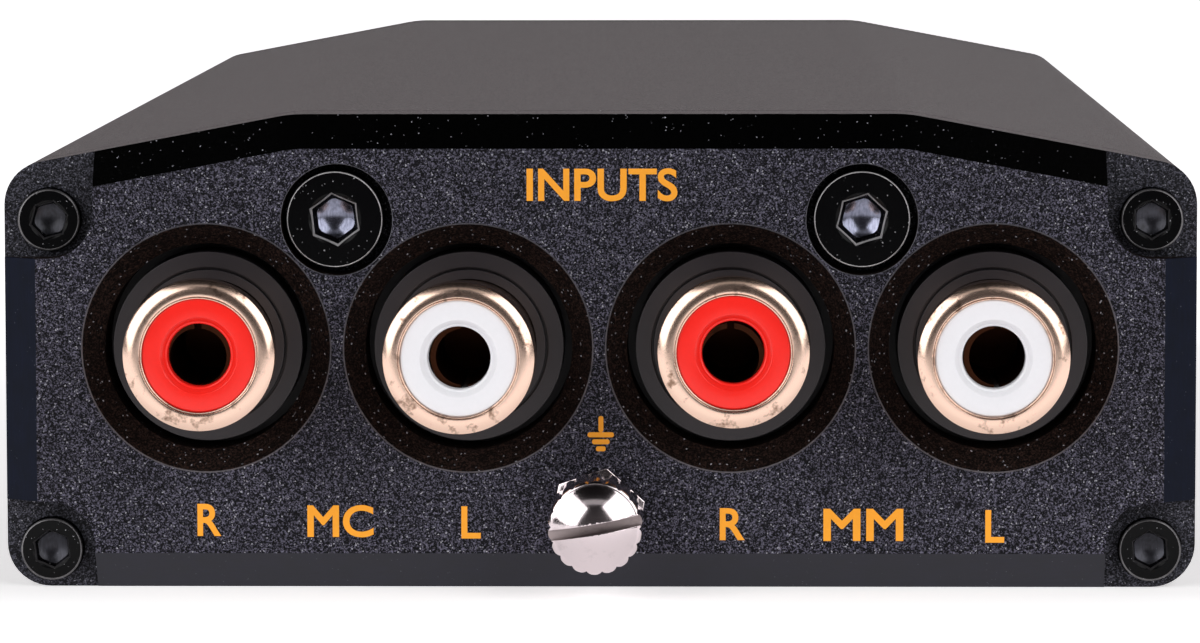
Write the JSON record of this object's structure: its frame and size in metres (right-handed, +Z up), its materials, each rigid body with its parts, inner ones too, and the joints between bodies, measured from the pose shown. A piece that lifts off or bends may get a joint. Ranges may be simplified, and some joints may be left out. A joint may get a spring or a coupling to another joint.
{
  "type": "phono preamplifier",
  "caption": "Compact phono preamplifier: a faceted black metal case with gold phono jacks, a thumb-screw ground terminal, slide switches and a power inlet.",
  "frame": {"origin": "middle of the underside, at the centre of the overall box", "axes": "+Y from the input end to the output end, +Z up, +X to the right seen from the input end"},
  "size_m": [0.068, 0.158, 0.0271],
  "materials": {
    "case": "bead-blasted, black anodised",
    "screws": "black oxide",
    "collars": "satin moulded",
    "gold": "polished, gold plated",
    "red_insulator": "smooth moulded",
    "white_insulator": "smooth moulded",
    "chrome": "polished",
    "brass": "plain",
    "switch_bodies": "matt",
    "switch_knobs": "satin",
    "bank_bodies": "matt",
    "bank_sliders": "matt",
    "clear": "clear",
    "led": "milky",
    "board": "solder mask",
    "chips": "matt moulded",
    "relays": "smooth moulded",
    "films": "smooth moulded",
    "cans": "drawn can",
    "ferrite": "ferrite, coated"
  },
  "bodies": {
    "housing": {"amplifier_chips": "chips", "can_capacitors": "cans", "case_tube": "case", "dc_pin": "brass", "dc_socket": "collars", "eq_switch_body": "switch_bodies", "film_capacitors": "films", "filter_switch_body": "switch_bodies", "gain_bank_body": "bank_bodies", "ground_bush": "chrome", "ground_tag": "brass", "input_jack_screws": "screws", "input_plate": "case", "input_plate_screws": "screws", "input_relays": "relays", "light_pipe": "clear", "load_bank_body": "bank_bodies", "main_board": "board", "mc_jack_block": "collars", "mc_left_contact": "brass", "mc_left_insert": "white_insulator", "mc_left_shell": "gold", "mc_right_contact": "brass", "mc_right_insert": "red_insulator", "mc_right_shell": "gold", "mm_jack_block": "collars", "mm_left_contact": "brass", "mm_left_insert": "white_insulator", "mm_left_shell": "gold", "mm_right_contact": "brass", "mm_right_insert": "red_insulator", "mm_right_shell": "gold", "output_jack_block": "collars", "output_jack_screw": "screws", "output_left_contact": "brass", "output_left_insert": "white_insulator", "output_left_shell": "gold", "output_plate": "case", "output_plate_screws": "screws", "output_right_contact": "brass", "output_right_insert": "red_insulator", "output_right_shell": "gold", "regulator_chips": "chips", "resistors": "chips", "status_led": "led", "supply_inductors": "ferrite"},
    "washer": {"ground_washer": "chrome"},
    "thumb_screw": {"ground_screw": "chrome"},
    "eq_knob": {"eq_switch_slider": "switch_knobs"},
    "filter_knob": {"filter_switch_slider": "switch_knobs"},
    "gain_slider_1": {"gain_slider_1": "bank_sliders"},
    "gain_slider_2": {"gain_slider_2": "bank_sliders"},
    "gain_slider_3": {"gain_slider_3": "bank_sliders"},
    "gain_slider_4": {"gain_slider_4": "bank_sliders"},
    "load_slider_1": {"load_slider_1": "bank_sliders"},
    "load_slider_2": {"load_slider_2": "bank_sliders"},
    "load_slider_3": {"load_slider_3": "bank_sliders"},
    "load_slider_4": {"load_slider_4": "bank_sliders"}
  },
  "joints": [
    {"name": "ground_washer_travel", "type": "slide", "parent": "housing", "child": "washer", "axis": [0, -1, 0], "range_m": [0, 0.002]},
    {"name": "ground_screw_turn", "type": "hinge", "parent": "washer", "child": "thumb_screw", "pos_m": [-0.00014, -0.0725, 0.00425], "axis": [0, -1, 0], "range_deg": [0, 1440]},
    {"name": "eq_switch_slide", "type": "slide", "parent": "housing", "child": "eq_knob", "axis": [1, 0, 0], "range_m": [-0.002, 0.002]},
    {"name": "filter_switch_slide", "type": "slide", "parent": "housing", "child": "filter_knob", "axis": [1, 0, 0], "range_m": [-0.002, 0.002]},
    {"name": "gain_switch_1", "type": "slide", "parent": "housing", "child": "gain_slider_1", "axis": [0, 1, 0], "range_m": [0, 0.0013]},
    {"name": "gain_switch_2", "type": "slide", "parent": "housing", "child": "gain_slider_2", "axis": [0, 1, 0], "range_m": [0, 0.0013]},
    {"name": "gain_switch_3", "type": "slide", "parent": "housing", "child": "gain_slider_3", "axis": [0, 1, 0], "range_m": [0, 0.0013]},
    {"name": "gain_switch_4", "type": "slide", "parent": "housing", "child": "gain_slider_4", "axis": [0, 1, 0], "range_m": [0, 0.0013]},
    {"name": "load_switch_1", "type": "slide", "parent": "housing", "child": "load_slider_1", "axis": [0, 1, 0], "range_m": [0, 0.0013]},
    {"name": "load_switch_2", "type": "slide", "parent": "housing", "child": "load_slider_2", "axis": [0, 1, 0], "range_m": [0, 0.0013]},
    {"name": "load_switch_3", "type": "slide", "parent": "housing", "child": "load_slider_3", "axis": [0, 1, 0], "range_m": [0, 0.0013]},
    {"name": "load_switch_4", "type": "slide", "parent": "housing", "child": "load_slider_4", "axis": [0, 1, 0], "range_m": [0, 0.0013]}
  ],
  "couplings": [
    {"joint": "ground_screw_turn", "follows": "ground_washer_travel", "rad_per_m": 12566}
  ]
}
